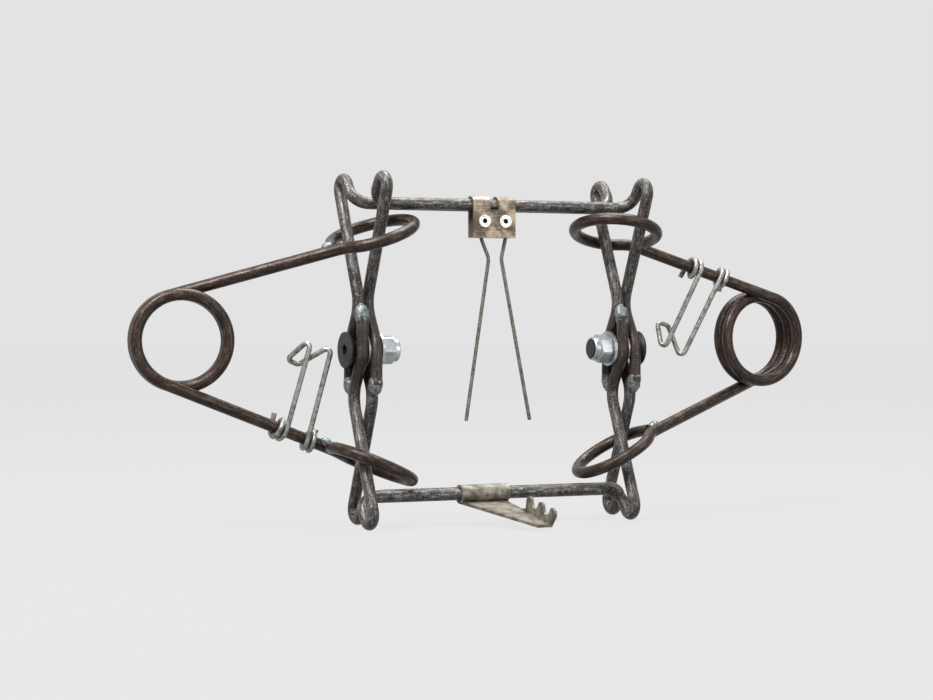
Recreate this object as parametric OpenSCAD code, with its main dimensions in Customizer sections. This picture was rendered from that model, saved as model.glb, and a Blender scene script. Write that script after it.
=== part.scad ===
// Body grip trap, standing closed on its four bottom loops.
// X runs along the pivot axis, Y to the back, Z up. The pivot axis is the origin.

/* [Frames] */
// Diameter of the round rod that the frames are bent from
rod_d = 6.35; // [5:0.05:7]
// Distance between the two eyes of one frame, centre to centre
frame_w = 155; // [140:1:180]
// Height of each bar above or below the pivot axis
bar_z = 77; // [72:0.5:90]
// Open gap between the two bars that lie side by side
bar_gap = 2.6; // [2.4:0.1:4]
// Height of the hump's top, at the rod's centre line
hump_z = 90.1; // [88:0.1:105]
// Spread in Y from the pivot plane to the outer leg of a hump
hump_leg_y = 22; // [19:0.5:26]
// Distance between the two legs of a hump, centre to centre
hump_pitch = 10.4; // [9:0.1:13]
// Bend radius from a hump's inner leg into the bar
corner_r = 9; // [7:0.5:10]

/* [Eyes] */
// Clearance between the screw and the eye bent round it
eye_clear = 0.45; // [0.35:0.05:0.8]
// Height of the waist where an arm crosses its partner
waist_z = 24; // [22:0.5:28]
// Distance in Y of the arm from the pivot plane at the waist
waist_y = 4.5; // [3:0.5:5.5]
// Height where the hooked tip of a rod ends
tip_z = 18.2; // [16:0.1:20]

/* [Pivots] */
// Diameter of the pivot screw
screw_d = 9.525; // [9:0.005:10]
// Diameter of the flat head
head_d = 19.05; // [18:0.05:20]
// Height of the straight rim of the head
head_rim = 0.6; // [0.4:0.1:1.5]
// Included angle of the head's cone
head_angle = 90; // [82:1:100]
// Hexagon socket, across flats
socket_af = 5.56; // [4:0.01:7]
// Depth of the hexagon socket
socket_depth = 3.4; // [2:0.1:4]
// Diameter of the spacer washer between the eyes
spacer_d = 19; // [17:0.5:21]
// Thickness of the spacer washer
spacer_t = 0.9; // [0.8:0.1:2.6]
// Room on each side of the spacer washer
spacer_gap = 0.3; // [0.3:0.05:0.6]
// Diameter of the washer under the nut
washer_d = 19; // [17:0.5:21]
// Thickness of the washer under the nut
washer_t = 1.5; // [1.2:0.1:2]
// Nut, across flats
nut_af = 14.3; // [13:0.1:15]
// Height of the nut's hexagon
nut_hex_h = 7.3; // [7:0.1:9]
// Height of the round collar that holds the nut's ring
nut_collar_h = 2.9; // [2.5:0.1:4]
// Diameter of the collar
nut_collar_d = 12.6; // [12.2:0.1:13]
// Thickness of the nut's locking ring
ring_t = 1.6; // [1.4:0.1:2]

/* [Springs] */
// Diameter of the spring wire
wire_d = 6.35; // [5.5:0.05:6.6]
// Distance from the pivot to the middle of the coil
coil_reach = 95; // [88:1:110]
// Height of the coil's middle above the pivot axis
coil_z = 5; // [0:0.5:8]
// Mean radius of the coil
coil_r = 23.9; // [22:0.1:26]
// Full turns of the coil, beyond the part turn between its arms
coil_turns = 2; // [1:1:3]
// Open gap between neighbouring turns
coil_gap = 0.5; // [0.45:0.05:1.5]
// Mean radius of the ring at the end of each arm
ring_r = 22.6; // [21:0.1:24]
// Distance of a ring's middle beyond the pivot plane
ring_shift = 4.9; // [2:0.1:7]
// Tilt of an upper ring about its arm
tilt_up = 12; // [0:1:18]
// Tilt of the left spring's lower ring
tilt_low_left = -4; // [-8:1:10]
// Tilt of the right spring's lower ring
tilt_low_right = 6; // [-8:1:10]
// Height of the left spring's upper ring above the pivot axis
left_up_z = 60.8; // [58:0.1:64]
// Slope of the left spring's upper ring
left_up_slope = 17; // [8:1:20]
// Depth of the left spring's lower ring below the pivot axis
left_low_z = 59.9; // [57:0.1:63]
// Slope of the left spring's lower ring
left_low_slope = 23; // [15:1:25]
// Height of the right spring's upper ring above the pivot axis
right_up_z = 64; // [60:0.1:66]
// Slope of the right spring's upper ring
right_up_slope = 12; // [5:1:13]
// How far the right spring's upper ring sits forward of the pivot
right_up_front = 1.5; // [0:0.1:2]
// Depth of the right spring's lower ring below the pivot axis
right_low_z = 56.8; // [55:0.1:58]
// Slope of the right spring's lower ring
right_low_slope = 29; // [18:1:30]
// Place on a ring where its arm joins it, from the tip round to the arm
join_angle = 148; // [144:1:154]
// Bend radius where an arm turns into its ring
join_r = 9; // [6:0.5:12]
// Angle the left spring is swung to the back
left_swing = 13; // [0:1:30]
// Angle the right spring is swung to the back
right_swing = 6; // [0:1:30]

/* [Safety hooks] */
// Diameter of the hook wire
hook_d = 2.8; // [2:0.1:3.2]
// Clearance between the hook's eyelets and the spring wire
hook_clear = 0.4; // [0.35:0.05:1]
// Length of the hook's legs
hook_leg = 51; // [46:1:56]
// Distance between the hook's legs at its closed end
hook_w = 12; // [10:0.5:16]
// Distance between the hook's two eyelets
hook_eye_pitch = 18; // [14:0.5:22]
// Distance of the left hook's middle from the pivot, along the spring
hook_left_at = 35.5; // [34:0.5:44]
// Distance of the right hook's middle from the pivot, along the spring
hook_right_at = 60; // [44:0.5:66]
// Turn of the left hook about its arm
hook_left_turn = 0; // [-20:1:20]
// Turn of the right hook about its arm
hook_right_turn = 10; // [-20:1:20]
// Length that the hook's closed end is bent back
hook_back = 20; // [17:0.5:22]

/* [Trigger] */
// Place of the trigger's middle along the bar
trigger_x = -5; // [-20:1:10]
// Width of the trigger plate
plate_w = 24.8; // [20:0.1:30]
// Thickness of the trigger's sheet
sheet_t = 1.2; // [1:0.05:1.3]
// Height of the flat part of the trigger plate
plate_h = 15; // [14:0.5:20]
// Width of each lug that curls over the bar
lug_w = 10; // [8:0.5:11]
// Clearance between the curled sheet and the bar
curl_clear = 0.3; // [0.3:0.05:0.4]
// Distance between the two rivets
rivet_pitch = 12.4; // [11:0.1:14]
// Diameter of a rivet's rolled rim
rivet_rim_d = 6.8; // [6:0.1:7.4]
// Diameter of a rivet's barrel
rivet_d = 3.6; // [3.2:0.1:4]
// Bore of a rivet
rivet_bore = 2.4; // [2:0.1:2.6]
// Diameter of the trigger wire
trigger_wire_d = 2; // [1.6:0.1:2.2]
// Height of the wire ends below the bar
wire_drop = 115; // [100:1:118]
// Distance between the wire ends
wire_spread = 38; // [30:1:50]
// Sideways lean of the wire ends
wire_lean = 3.7; // [-5:0.1:5]

/* [Dog] */
// Place of the sleeve's middle along the bar
dog_x = -9.8; // [-20:0.5:0]
// Length of the rolled sleeve
sleeve_l = 28; // [24:0.5:32]
// Thickness of the dog's sheet
dog_t = 1.6; // [1.4:0.1:1.7]
// Reach of the dog in front of the bar
dog_reach = 60; // [54:1:64]
// Length of the notched flange
flange_l = 32; // [28:0.5:34]
// Height of the notched flange above the arm's underside
flange_h = 10.5; // [9:0.5:14]
// Width of each notch
notch_w = 7.2; // [6.6:0.1:8]
// Depth of each notch
notch_depth = 5; // [4:0.1:6]
// Slope of the dog's arm down to the ground
dog_slope = 9.5; // [6:0.5:10]

/* [Hidden] */

rod_sides = 12;
wire_sides = 6;
bend_step = 22;
curl_rings = 8;
loop_rings = 24;
smooth = 48;

rod_r = rod_d / 2;
wire_r = wire_d / 2;
hook_r = hook_d / 2;
screw_r = screw_d / 2;
head_r = head_d / 2;
run_gap = 0.3;
thread_bite = 0.08;

// Places along the pivot axis
eye_pitch = rod_d + spacer_t + 2 * spacer_gap;
outer_x = (frame_w + eye_pitch) / 2;
inner_x = (frame_w - eye_pitch) / 2;
pivot_x = frame_w / 2;

// The YZ outline of an arm, with angles measured from +Y towards +Z
bar_y = rod_r + bar_gap / 2;
eye_r = screw_r + eye_clear + rod_r;
hump_r = hump_pitch / 2;
hump_y = hump_leg_y - hump_r;
waist_bend_r = 14;
eye_steps = 4;
waist_angle = atan2(waist_z, -waist_y);
eye_angle = waist_angle - acos(eye_r / norm([waist_y, waist_z]));
hump_from_waist = [hump_y + waist_y, hump_z - hump_r - waist_z];
hump_from_bar = [hump_y - bar_y, hump_z - hump_r - bar_z];
hump_start = atan2(hump_from_waist[1], hump_from_waist[0]) - asin(hump_r / norm(hump_from_waist)) - 90;
hump_end = atan2(hump_from_bar[1], hump_from_bar[0]) + asin(hump_r / norm(hump_from_bar)) + 90;

// Vectors and routes
function unit(v) = v / norm(v);
function arc(centre, u, v, r, from, to, n) =
    [for (i = [0:n]) let (a = from + (to - from) * i / n) centre + r * (cos(a) * u + sin(a) * v)];
function turn_at(a, b, c) = acos(min(1, max(-1, unit(b - a) * unit(c - b))));
function corner(a, b, c, r) =
    let (turn = turn_at(a, b, c), back = unit(a - b), ahead = unit(c - b),
         centre = b + unit(back + ahead) * r / cos(turn / 2),
         start = b + back * r * tan(turn / 2), n = max(1, ceil(turn / bend_step)))
    arc(centre, unit(start - centre), -back, r, 0, turn, n);
function rounded(pts, radii) = concat([pts[0]],
    [for (i = [1:len(pts) - 2]) each (radii[i] > 0
        ? corner(pts[i - 1], pts[i], pts[i + 1], radii[i]) : [pts[i]])],
    [pts[len(pts) - 1]]);
function reversed(list) = [for (i = [len(list) - 1:-1:0]) list[i]];
function tangent(p, i) = unit(p[min(i + 1, len(p) - 1)] - p[max(i - 1, 0)]);
function side_of(t) = unit(cross(t, abs(t[2]) < 0.8 ? [0, 0, 1] : [1, 0, 0]));
function level(n, t) = unit(n - (n * t) * t);
function sides_along(p) =
    [for (i = 0, n = side_of(tangent(p, 0)); i < len(p);
          i = i + 1, n = level(n, tangent(p, min(i, len(p) - 1)))) n];

// A closed tube of diameter d along the points p
module tube(p, d, sides) {
    n = sides_along(p);
    rings = [for (i = [0:len(p) - 1]) let (t = tangent(p, i), b = cross(t, n[i]))
        for (k = [0:sides - 1]) let (a = 360 * k / sides) p[i] + d / 2 * (cos(a) * n[i] + sin(a) * b)];
    last = (len(p) - 1) * sides;
    walls = [for (i = [0:len(p) - 2], k = [0:sides - 1])
        let (a = i * sides + k, b = i * sides + (k + 1) % sides)
        each [[a, a + sides, b], [b, a + sides, b + sides]]];
    caps = [for (k = [1:sides - 2]) each [[0, k, k + 1], [last, last + k + 1, last + k]]];
    polyhedron(points = rings, faces = concat(walls, caps), convexity = 10);
}

module along_x(x, r, l) translate([x, 0, 0]) rotate([0, 90, 0]) cylinder(r = r, h = l, $fn = smooth);

// Frames: each rod runs from one hooked tip, over two humps and a bar, to the other tip
function arm_outline() =
    let (u = [1, 0], v = [0, 1],
         eye = arc([0, 0], u, v, eye_r, 0, eye_angle, eye_steps),
         waist = [-waist_y, waist_z],
         hump = arc([hump_y, hump_z - hump_r], u, v, hump_r, hump_start, hump_end, 9))
    rounded(concat([[eye_r, -tip_z]], eye, [waist], hump),
            concat([0], [for (p = eye) 0], [waist_bend_r], [for (p = hump) 0]));
function arm_at(x) = [for (p = arm_outline()) [x, p[0], p[1]]];
function rod_route() =
    let (left = arm_at(-outer_x), right = reversed(arm_at(inner_x)),
         c1 = [-outer_x, bar_y, bar_z], c2 = [inner_x, bar_y, bar_z], n = len(left) - 1)
    concat(left, corner(left[n], c1, c2, corner_r), corner(c1, c2, right[0], corner_r), right);

module rod() color("dimgray") tube(rod_route(), rod_d, rod_sides);

// A bead over a rod's tip and the arm beside it
bead_r = 3.5;
bead_l = 7;
bead_y = eye_r - 2.2;
module eye_bead(x) translate([x, bead_y, -tip_z - 1]) hull() for (s = [-1, 1])
    translate([0, 0.8 * s, s * (bead_l / 2 - bead_r / 2)]) sphere(r = bead_r, $fn = 16);
module frame_beads() color("slategray") for (x = [-outer_x, inner_x], s = [0, 180])
    rotate([s, 0, 0]) eye_bead(x);

module frame_a_upper() rod();
module frame_a_lower() rotate([180, 0, 0]) rod();
module frame_b_upper() rotate([0, 0, 180]) rod();
module frame_b_lower() rotate([180, 0, 180]) rod();
module eye_welds_a() frame_beads();
module eye_welds_b() rotate([0, 0, 180]) frame_beads();

// Pivots, drawn for the left side with the head outside
cone_slope = tan(head_angle / 2);
cone_at_eye = eye_r - (rod_r + run_gap) / cos(head_angle / 2);
cone_h = (head_r - cone_at_eye) / cone_slope;
head_x = -outer_x - cone_h - head_rim;
washer_x = -inner_x + rod_r + run_gap;
nut_x = washer_x + washer_t;
collar_x = nut_x + nut_hex_h;
screw_end_x = collar_x + nut_collar_h + 0.4;
washer_bore_r = screw_r + 0.2;
ring_seat_r = nut_collar_d / 2 - 0.8;

module screw() color("#3c3c3c") difference() {
    union() {
        along_x(head_x, head_r, head_rim);
        translate([head_x + head_rim, 0, 0]) rotate([0, 90, 0])
            cylinder(r1 = head_r, r2 = cone_at_eye, h = cone_h, $fn = smooth);
        along_x(head_x + head_rim, screw_r, screw_end_x - head_x - head_rim);
    }
    translate([head_x - 1, 0, 0]) rotate([0, 90, 0])
        cylinder(d = socket_af / cos(30), h = socket_depth + 1, $fn = 6);
}
module nut() color("silver") difference() {
    union() {
        intersection() {
            translate([nut_x, 0, 0]) rotate([0, 90, 0]) rotate(15)
                cylinder(d = nut_af / cos(30), h = nut_hex_h, $fn = 6);
            along_x(nut_x, nut_af / 2 / cos(30) - 0.35, nut_hex_h);
        }
        along_x(collar_x - 1, nut_collar_d / 2, nut_collar_h + 1);
    }
    along_x(nut_x - 1, screw_r - thread_bite, nut_hex_h + nut_collar_h + 2);
    along_x(collar_x + nut_collar_h - 0.6 - ring_t, ring_seat_r, ring_t);
}
module nut_ring() color("#4a4a46") difference() {
    along_x(collar_x + nut_collar_h - 0.6 - ring_t, ring_seat_r, ring_t);
    along_x(collar_x, screw_r - thread_bite, nut_collar_h);
}
module washer(x, d, t) color("lightgray") difference() {
    along_x(x, d / 2, t);
    along_x(x - 1, washer_bore_r, t + 2);
}
module spacer() washer(-pivot_x - spacer_t / 2, spacer_d, spacer_t);
module nut_washer() washer(washer_x, washer_d, washer_t);
module other_side() rotate([0, 0, 180]) children();

module pivot_screw_left() screw();
module pivot_screw_right() other_side() screw();
module lock_nut_left() nut();
module lock_nut_right() other_side() nut();
module nut_ring_left() nut_ring();
module nut_ring_right() other_side() nut_ring();
module spacer_left() spacer();
module spacer_right() other_side() spacer();
module nut_washer_left() nut_washer();
module nut_washer_right() other_side() nut_washer();

// Springs, drawn with the pivot at the origin and the coil towards +X.
// The upper arm leaves the coil's front end and passes behind the frame arms, and its ring comes
// back in front. The lower arm leaves the back end and passes in front.
// A pose holds the height, slope, tilt and forward shift of the upper and the lower ring.
left_pose = [[left_up_z, left_up_slope, tilt_up, 0], [-left_low_z, left_low_slope, tilt_low_left, 0]];
right_pose = [[right_up_z, right_up_slope, tilt_up, right_up_front],
    [-right_low_z, right_low_slope, tilt_low_right, 0]];
coil_c = [coil_reach, 0, coil_z];
coil_pitch = wire_d + coil_gap;
join_step = 28;
ring_end_angle = -175;

// The radius that gives a polygon of n corners the area of a circle of radius r
function even_r(r, n) = r * sqrt(360 / n * PI / 180 / sin(360 / n));

// A ring in its own plane: one direction ahead along the arm, one across to the side of the join
function side(up) = up > 0 ? 0 : 1;
function ring_ahead(pose, up) = [-cos(pose[side(up)][1]), 0, up * sin(pose[side(up)][1])];
function ring_across(pose, up) = let (tilt = pose[side(up)][2], ahead = ring_ahead(pose, up))
    [-up * sin(tilt) * ahead[2], up * cos(tilt), up * sin(tilt) * ahead[0]];
function ring_centre(pose, up) = [-ring_shift, -pose[side(up)][3], pose[side(up)][0]];
function ring_point(pose, up, a) = ring_centre(pose, up)
    + ring_r * (cos(a) * ring_ahead(pose, up) + sin(a) * ring_across(pose, up));
// The slope of the straight arm that runs from the join and touches the coil
function arm_slope(pose, up) = let (k = ring_point(pose, up, join_angle),
    run = coil_reach - k[0], rise = up * (k[2] - coil_z))
    atan2(rise, run) - asin(coil_r / norm([run, rise]));
function coil_sweep(pose) = 180 - arm_slope(pose, 1) - arm_slope(pose, -1) + 360 * coil_turns;
function coil_len(pose) = coil_pitch * coil_sweep(pose) / 360;
function coil_route(pose) = let (r = even_r(coil_r, curl_rings), sweep = coil_sweep(pose),
    steps = round(sweep / 360 * curl_rings))
    [for (i = [0:steps]) let (a = 90 - arm_slope(pose, 1) - sweep * i / steps)
    coil_c + [r * cos(a), coil_len(pose) * (i / steps - 0.5), r * sin(a)]];
function coil_exit(pose, up) = coil_c + [coil_r * sin(arm_slope(pose, up)),
    -up * coil_len(pose) / 2, up * coil_r * cos(arm_slope(pose, up))];
function ring_route(pose, up) =
    let (pts = arc(ring_centre(pose, up), ring_ahead(pose, up), ring_across(pose, up), ring_r,
                   join_angle - join_step, ring_end_angle, loop_rings),
         bend = corner(coil_exit(pose, up), ring_point(pose, up, join_angle), pts[0], join_r),
         n = len(pts) - 1)
    concat(bend, pts, [pts[n] + wire_d * unit(pts[n] - pts[n - 1])]);
function spring_route(pose) =
    concat(reversed(ring_route(pose, 1)), coil_route(pose), ring_route(pose, -1));

// The least open gap between stretches of the wire that are not neighbours, measured on points
// set along each straight stretch
gap_skip = 5;
gap_parts = 3;
function finer(p) = concat([for (i = [0:len(p) - 2], k = [0:gap_parts - 1])
    p[i] + (p[i + 1] - p[i]) * k / gap_parts], [p[len(p) - 1]]);
function wire_gap(p, d) = let (q = finer(p), skip = gap_skip * gap_parts)
    min([for (i = [0:len(q) - 1], j = [i + skip:1:len(q) - 1]) norm(q[i] - q[j])]) - d;
echo(spring_left_least_gap = wire_gap(spring_route(left_pose), wire_d));
echo(spring_right_least_gap = wire_gap(spring_route(right_pose), wire_d));

left_turn = 180 - left_swing;
module on_left() translate([-pivot_x, 0, 0]) rotate([0, 0, left_turn]) children();
module on_right() translate([pivot_x, 0, 0]) rotate([0, 0, right_swing]) children();
module spring(pose) color("#4a3d36") tube(spring_route(pose), wire_d, wire_sides);
module spring_left() on_left() spring(left_pose);
module spring_right() on_right() spring(right_pose);

// A weld bead in the groove between a ring's cut end and its arm, clear of the wire
weld_r = 2.95;
weld_clear = 0.26;
weld_ahead = 3.5;
module end_weld(pose, up) {
    ring = ring_route(pose, up);
    n = len(ring) - 1;
    arm = [coil_exit(pose, up), ring_point(pose, up, join_angle)];
    along = unit(arm[0] - arm[1]);
    tip = ring[n];
    beside = arm[1] + along * ((tip - arm[1]) * along);
    out = unit(cross(along, beside - tip)) * up;
    c = (tip + beside) / 2 + out * weld_r + along * weld_ahead;
    color("#7f8a84") difference() {
        translate(c) sphere(r = weld_r, $fn = 24);
        tube(spring_route(pose), wire_d + 2 * weld_clear, wire_sides);
        tube([tip, 2 * tip - ring[n - 1]], wire_d + 2 * weld_clear, wire_sides);
    }
}
module end_weld_left_upper() on_left() end_weld(left_pose, 1);
module end_weld_left_lower() on_left() end_weld(left_pose, -1);
module end_weld_right_upper() on_right() end_weld(right_pose, 1);
module end_weld_right_lower() on_right() end_weld(right_pose, -1);

// Safety hooks. In a hook's own axes, X runs along the spring arm towards the coil, Z along the
// hook's legs and Y to the front. Each eyelet goes one and a half times round the arm.
eyelet_pitch = hook_d + 0.6;
eyelet_steps = 11;
half_side = 22.5;
eyelet_r = (wire_r + hook_clear + hook_r) / cos(half_side);
hook_tail = 9;
tail_out = 1.5;
hook_bend_r = 2.2;
leg_shift = 6;
lean_x = 0.4;
lean_y = 0.45;
function eyelet(s) = [for (k = [0:eyelet_steps]) let (a = 180 + half_side + 2 * half_side * k)
    [s * (hook_eye_pitch / 2 + eyelet_pitch * (eyelet_steps / 2 - k) / curl_rings),
     eyelet_r * cos(a), eyelet_r * sin(a)]];
function hook_side(s, lean) =
    let (e = eyelet(s), n = len(e) - 1,
         top = [s * hook_w / 2 + lean * leg_shift, eyelet_r * cos(half_side), hook_leg],
         back = top + hook_back * [lean * lean_x, -lean_y, -sqrt(1 - lean_x * lean_x - lean_y * lean_y)]
             - [s * hook_w / 5, 0, 0])
    concat([e[0] + [s * tail_out, 0, hook_tail]], e,
           corner(e[n], top, back, hook_bend_r), [back]);
function hook_route(lean) =
    let (a = hook_side(-1, lean), b = hook_side(1, lean), n = len(a) - 1)
    concat([for (i = [0:n - 1]) a[i]], corner(a[n - 1], a[n], b[n], hook_bend_r),
           corner(a[n], b[n], b[n - 1], hook_bend_r), [for (i = [n - 1:-1:0]) b[i]]);
echo(hook_least_gap = wire_gap(hook_route(1), hook_d));
module hook(pose, up, at, lean, turn) {
    far = coil_exit(pose, up);
    near = ring_point(pose, up, join_angle);
    ex = unit(far - near);
    ez = unit(cross(ex, [0, -up, 0]));
    ey = cross(ez, ex);
    o = near + ex * ((at - near[0]) / ex[0]);
    m = [[ex[0], ey[0], ez[0], o[0]], [ex[1], ey[1], ez[1], o[1]],
         [ex[2], ey[2], ez[2], o[2]], [0, 0, 0, 1]];
    color("#b7b6ab") multmatrix(m) rotate([turn, 0, 0]) tube(hook_route(lean), hook_d, wire_sides);
}
module safety_hook_left() on_left() hook(left_pose, -1, hook_left_at, 1, hook_left_turn);
module safety_hook_right() on_right() hook(right_pose, 1, hook_right_at, -1, hook_right_turn);

// Trigger, drawn on the front upper bar with the bar's centre line at the origin
curl_r = rod_r + curl_clear;
fold_r = curl_r + sheet_t;
back_y = 1.3;
back_top = 3.6;
plate_bottom = -(plate_h + 2.5);
rivet_z = -8.6;
rivet_bite = 0.04;
module at_top_bar() translate([trigger_x, -bar_y, bar_z]) children();
module sheet(x, l, y, top) translate([x - l / 2, y, plate_bottom]) cube([l, sheet_t, top - plate_bottom]);
module lug(x) {
    translate([x - lug_w / 2, 0, 0]) rotate([90, 0, 90]) linear_extrude(lug_w) difference() {
        circle(r = fold_r, $fn = smooth);
        circle(r = curl_r, $fn = smooth);
        polygon([[0, 0], [fold_r, -2 * fold_r], [-2 * fold_r, -2 * fold_r], [-2 * fold_r, 0]]);
    }
    sheet(x, lug_w, -fold_r, 0.01);
}
module on_rivet(s, y, r, l) translate([s * rivet_pitch / 2, y, rivet_z]) rotate([-90, 0, 0])
    cylinder(r = r, h = l, $fn = smooth);
module plate() difference() {
    union() {
        for (s = [-1, 1]) lug(s * (plate_w - lug_w) / 2);
        sheet(0, plate_w, -fold_r, -2.5);
        sheet(0, plate_w, back_y, -back_top);
    }
    for (s = [-1, 1]) on_rivet(s, -2 * fold_r, rivet_d / 2 - rivet_bite, 4 * fold_r);
}
rim_h = 0.8;
module rivets() for (s = [-1, 1]) difference() {
    union() {
        on_rivet(s, -fold_r - rim_h, rivet_rim_d / 2, rim_h);
        on_rivet(s, -fold_r - rim_h, rivet_d / 2, fold_r + back_y + sheet_t + 2 * rim_h);
        on_rivet(s, back_y + sheet_t, rivet_rim_d / 2, rim_h);
    }
    on_rivet(s, -2 * fold_r, rivet_bore / 2, 4 * fold_r);
}
wire_y = (back_y - curl_r) / 2;
loop_steps = 6;
loop_r = (rivet_d / 2 + run_gap + trigger_wire_d / 2) / cos(half_side);
neck_x = 6.9;
neck_z = -19;
knee_x = 3.7;
knee_z = -28.5;
knee_r = 6;
function wire_route(s) =
    let (neck = [s * neck_x + wire_lean / 4, wire_y, neck_z],
         knee = [s * knee_x + wire_lean / 2, wire_y, knee_z],
         end = [s * wire_spread / 2 + wire_lean, wire_y, -wire_drop])
    concat([for (k = [0:loop_steps]) let (a = 270 - half_side - 2 * half_side * k)
            [s * (rivet_pitch / 2 + loop_r * cos(a)), wire_y, rivet_z + loop_r * sin(a)]],
           [neck], corner(neck, knee, end, knee_r), [end]);
module trigger_wire(s) color("#9a948c") tube(wire_route(s), trigger_wire_d, wire_sides);
module trigger_plate() color("#8f877a") at_top_bar() plate();
module trigger_rivets() color("#d8d6d0") at_top_bar() rivets();
module trigger_wire_left() at_top_bar() trigger_wire(-1);
module trigger_wire_right() at_top_bar() trigger_wire(1);

// Dog, drawn on the front lower bar with the bar's centre line at the origin
sleeve_r = rod_r + curl_clear + dog_t;
flange_x = 3 - dog_x;
dog_tip_x = -5.5 - dog_x;
slit = 1;
dog_nose = 4;
prong_w = (flange_l - 2 * notch_w) / 3;
module at_low_bar() translate([dog_x, -bar_y, -bar_z]) children();
module flange_outline() difference() {
    union() {
        square([flange_l, flange_h - prong_w / 2]);
        for (k = [0:2]) translate([k * (prong_w + notch_w) + prong_w / 2, flange_h - prong_w / 2])
            circle(d = prong_w, $fn = smooth);
        polygon([[-flange_h, 0], [0, 0], [0, flange_h / 3]]);
    }
    polygon([[flange_l + 1, -1], [flange_l - dog_nose - 1, -1], [flange_l + 1, 2 * dog_nose]]);
    for (k = [0:1]) translate([prong_w + k * (prong_w + notch_w), flange_h - notch_depth]) {
        translate([0, notch_w / 2]) square([notch_w, notch_depth]);
        translate([notch_w / 2, notch_w / 2]) circle(d = notch_w, $fn = smooth);
    }
}
module dog() color("#857d70") at_low_bar() {
    difference() {
        along_x(-sleeve_l / 2, sleeve_r, sleeve_l);
        along_x(-sleeve_l / 2 - 1, rod_r + curl_clear, sleeve_l + 2);
        rotate([45, 0, 0]) translate([-sleeve_l, -2 * sleeve_r, -slit / 2])
            cube([2 * sleeve_l, 2 * sleeve_r, slit]);
    }
    translate([0, 0, -sleeve_r]) rotate([dog_slope, 0, 0]) {
        mirror([0, 1, 0]) linear_extrude(dog_t) polygon([[-sleeve_l / 2, 0], [flange_x, 0],
            [flange_x, dog_reach - dog_nose], [dog_tip_x, dog_reach - dog_nose]]);
        translate([flange_x, flange_l - dog_reach, 0]) rotate([90, 0, -90])
            linear_extrude(dog_t) flange_outline();
    }
}

frame_a_upper();
frame_a_lower();
frame_b_upper();
frame_b_lower();
eye_welds_a();
eye_welds_b();
pivot_screw_left();
pivot_screw_right();
lock_nut_left();
lock_nut_right();
nut_ring_left();
nut_ring_right();
spacer_left();
spacer_right();
nut_washer_left();
nut_washer_right();
spring_left();
spring_right();
end_weld_left_upper();
end_weld_left_lower();
end_weld_right_upper();
end_weld_right_lower();
safety_hook_left();
safety_hook_right();
trigger_plate();
trigger_rivets();
trigger_wire_left();
trigger_wire_right();
dog();
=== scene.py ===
"""A body grip trap with crossed rod frames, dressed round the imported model.

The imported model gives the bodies, the pivots and the exact hardware. This script adds the round
rods, the wound springs, the hooks, the wires and the welds as smooth bent wire, and gives every
piece a finish worked out from the real metal. All routes are in millimetres, from the middle of
the pivot axis: X to the right spring, Y to the back, Z up.
"""
import logging
from dataclasses import dataclass, field
from enum import Enum
from math import (acos, asin, atan2, ceil, cos, degrees, hypot, pi, radians, sin, sqrt, tan)
from typing import Sequence

import bmesh
import bpy
from mathutils import Matrix, Vector, noise

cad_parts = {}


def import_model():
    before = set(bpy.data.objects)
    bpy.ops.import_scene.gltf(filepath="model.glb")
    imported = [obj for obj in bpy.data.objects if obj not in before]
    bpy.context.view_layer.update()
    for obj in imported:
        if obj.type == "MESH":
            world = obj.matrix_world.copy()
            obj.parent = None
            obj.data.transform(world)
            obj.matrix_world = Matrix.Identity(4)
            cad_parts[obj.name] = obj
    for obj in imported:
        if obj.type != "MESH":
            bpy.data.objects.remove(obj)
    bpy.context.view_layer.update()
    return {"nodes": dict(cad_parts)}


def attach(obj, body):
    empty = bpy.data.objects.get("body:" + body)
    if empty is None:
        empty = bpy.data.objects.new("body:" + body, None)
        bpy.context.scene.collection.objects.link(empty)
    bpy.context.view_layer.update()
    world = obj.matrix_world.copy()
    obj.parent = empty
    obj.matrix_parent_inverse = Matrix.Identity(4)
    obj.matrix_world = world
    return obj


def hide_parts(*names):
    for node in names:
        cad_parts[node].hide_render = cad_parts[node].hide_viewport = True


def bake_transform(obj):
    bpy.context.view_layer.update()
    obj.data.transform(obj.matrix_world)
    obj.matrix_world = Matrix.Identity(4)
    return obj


LOG = logging.getLogger("trap")
MM = 0.001
X_AXIS, Y_AXIS, Z_AXIS = Vector((1, 0, 0)), Vector((0, 1, 0)), Vector((0, 0, 1))
# A cut end's edge is eased in two steps, and the first is this share of the whole.
FIRST_EASE = 0.3

Route = list[Vector]
Pair = tuple[float, float]
Triple = tuple[float, float, float]
Colour = tuple[float, float, float, float]
Tree = bpy.types.NodeTree
Node = bpy.types.Node
Socket = bpy.types.NodeSocket
Source = Node | Socket
Skin = dict[str | int, object]
Piece = bpy.types.Object


class Side(Enum):
    """The two ends of the pivot axis."""

    LEFT = "left"
    RIGHT = "right"


class Level(Enum):
    """The upper or the lower half of a frame or spring, with its sign in Z."""

    UPPER = 1
    LOWER = -1

    @property
    def word(self) -> str:
        """The word that the body and node names use."""
        return self.name.lower()


# Routes of bent wire


def arc(centre: Vector, u: Vector, v: Vector, radius: float, start: float, stop: float,
        count: int) -> Route:
    """Points along a circular arc.

    Args:
        centre: Middle of the circle.
        u: Direction of angle 0.
        v: Direction of angle 90.
        radius: Radius in mm.
        start: First angle in degrees.
        stop: Last angle in degrees.
        count: Number of steps.

    Returns:
        count + 1 points.
    """
    turns = (radians(start + (stop - start) * i / count) for i in range(count + 1))
    return [centre + radius * (cos(a) * u + sin(a) * v) for a in turns]


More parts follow.
